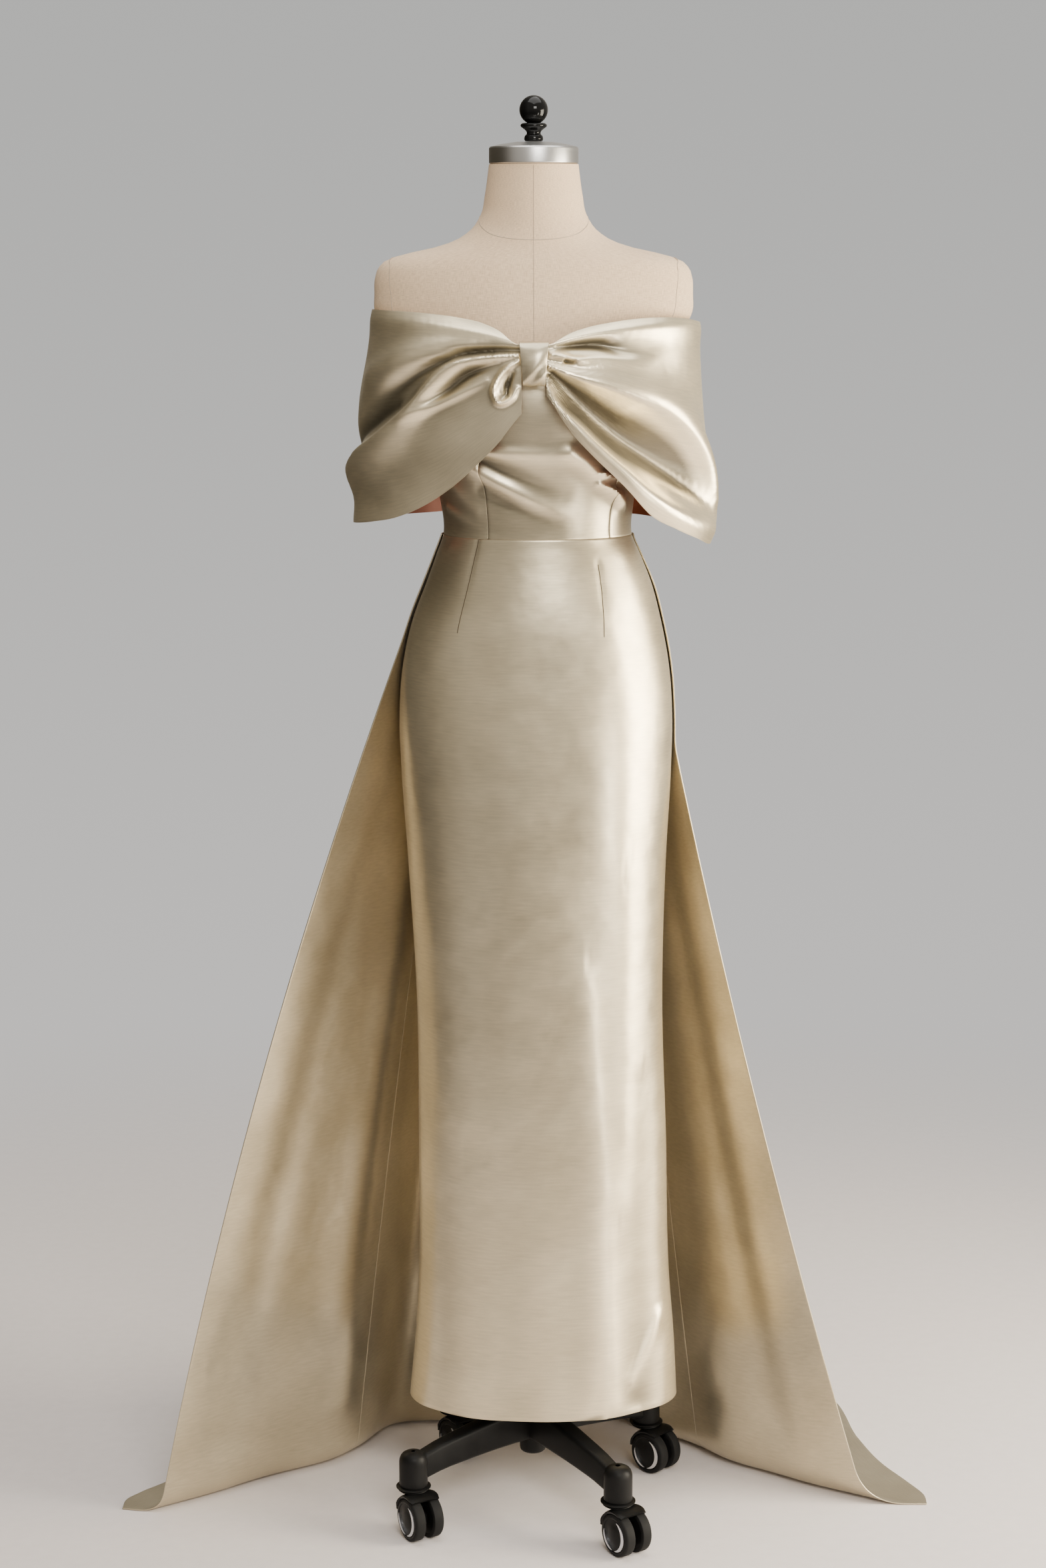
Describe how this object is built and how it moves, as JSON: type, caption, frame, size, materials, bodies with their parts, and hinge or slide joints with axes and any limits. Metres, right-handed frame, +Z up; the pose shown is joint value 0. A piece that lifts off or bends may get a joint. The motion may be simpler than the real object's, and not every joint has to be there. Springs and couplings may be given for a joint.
{
  "type": "satin column gown with bow capelet and train, on a limbless dress form with a caster stand",
  "caption": "Champagne satin column gown with a bow-fronted capelet and a train that spreads on the floor, standing on a linen limbless dress form with a wheeled black base.",
  "frame": {"origin": "on the floor, below the middle of the whole's length and width; the pole's axis stands at x 0.0095, y -0.2631", "axes": "+Z up, -Y the way the gown's front faces, +X to the right as seen from the front"},
  "size_m": [1.015, 0.9138, 1.7393],
  "materials": {
    "champagne_satin": "satin",
    "beige_linen": "matt, fine plain weave",
    "brushed_silver": "brushed",
    "gloss_black": "gloss",
    "cast_black": "satin black paint",
    "moulded_black": "matt",
    "black_rubber": "matt"
  },
  "bodies": {
    "gown_form_and_stand": {"bodice_centre_front": "champagne_satin", "bodice_side_front_left": "champagne_satin", "bodice_side_front_right": "champagne_satin", "bodice_back_left": "champagne_satin", "bodice_back_right": "champagne_satin", "skirt_front": "champagne_satin", "skirt_back_left": "champagne_satin", "skirt_back_right": "champagne_satin", "train_side_left": "champagne_satin", "train_back_left": "champagne_satin", "train_back_right": "champagne_satin", "train_side_right": "champagne_satin", "cape_left": "champagne_satin", "cape_right": "champagne_satin", "bow_knot": "champagne_satin", "zip_slider": "brushed_silver", "form_torso": "beige_linen", "neck_cap": "brushed_silver", "finial": "gloss_black", "stand_pole": "brushed_silver", "stand_base": "cast_black"},
    "swivel_front_left": {"caster_hood_front_left": "moulded_black"},
    "wheels_front_left": {"caster_wheels_front_left": "black_rubber"},
    "swivel_front_right": {"caster_hood_front_right": "moulded_black"},
    "wheels_front_right": {"caster_wheels_front_right": "black_rubber"},
    "swivel_back_right": {"caster_hood_back_right": "moulded_black"},
    "wheels_back_right": {"caster_wheels_back_right": "black_rubber"},
    "swivel_back_left": {"caster_hood_back_left": "moulded_black"},
    "wheels_back_left": {"caster_wheels_back_left": "black_rubber"},
    "zip_tab_body": {"zip_tab": "brushed_silver"}
  },
  "joints": [
    {"name": "swivel_front_left_turn", "type": "hinge", "parent": "gown_form_and_stand", "child": "swivel_front_left", "pos_m": [-0.13795, -0.36637, 0.06], "axis": [0, 0, 1], "continuous": true},
    {"name": "wheels_front_left_spin", "type": "hinge", "parent": "swivel_front_left", "child": "wheels_front_left", "pos_m": [-0.12895, -0.38196, 0.02647], "axis": [0.866, 0.5, 0], "continuous": true},
    {"name": "swivel_front_right_turn", "type": "hinge", "parent": "gown_form_and_stand", "child": "swivel_front_right", "pos_m": [0.11274, -0.41058, 0.06], "axis": [0, 0, 1], "continuous": true},
    {"name": "wheels_front_right_spin", "type": "hinge", "parent": "swivel_front_right", "child": "wheels_front_right", "pos_m": [0.12307, -0.42532, 0.02647], "axis": [0.8192, 0.5736, 0], "continuous": true},
    {"name": "swivel_back_right_turn", "type": "hinge", "parent": "gown_form_and_stand", "child": "swivel_back_right", "pos_m": [0.15695, -0.15989, 0.06], "axis": [0, 0, 1], "continuous": true},
    {"name": "wheels_back_right_spin", "type": "hinge", "parent": "swivel_back_right", "child": "wheels_back_right", "pos_m": [0.16989, -0.17239, 0.02647], "axis": [0.6947, 0.7193, 0], "continuous": true},
    {"name": "swivel_back_left_turn", "type": "hinge", "parent": "gown_form_and_stand", "child": "swivel_back_left", "pos_m": [-0.09374, -0.11568, 0.06], "axis": [0, 0, 1], "continuous": true},
    {"name": "wheels_back_left_spin", "type": "hinge", "parent": "swivel_back_left", "child": "wheels_back_left", "pos_m": [-0.08342, -0.13043, 0.02647], "axis": [0.8192, 0.5736, 0], "continuous": true},
    {"name": "zip_tab_swing", "type": "hinge", "parent": "gown_form_and_stand", "child": "zip_tab_body", "pos_m": [0.0095, -0.15188, 1.402], "axis": [1, 0, 0], "range_deg": [0, 120]}
  ]
}
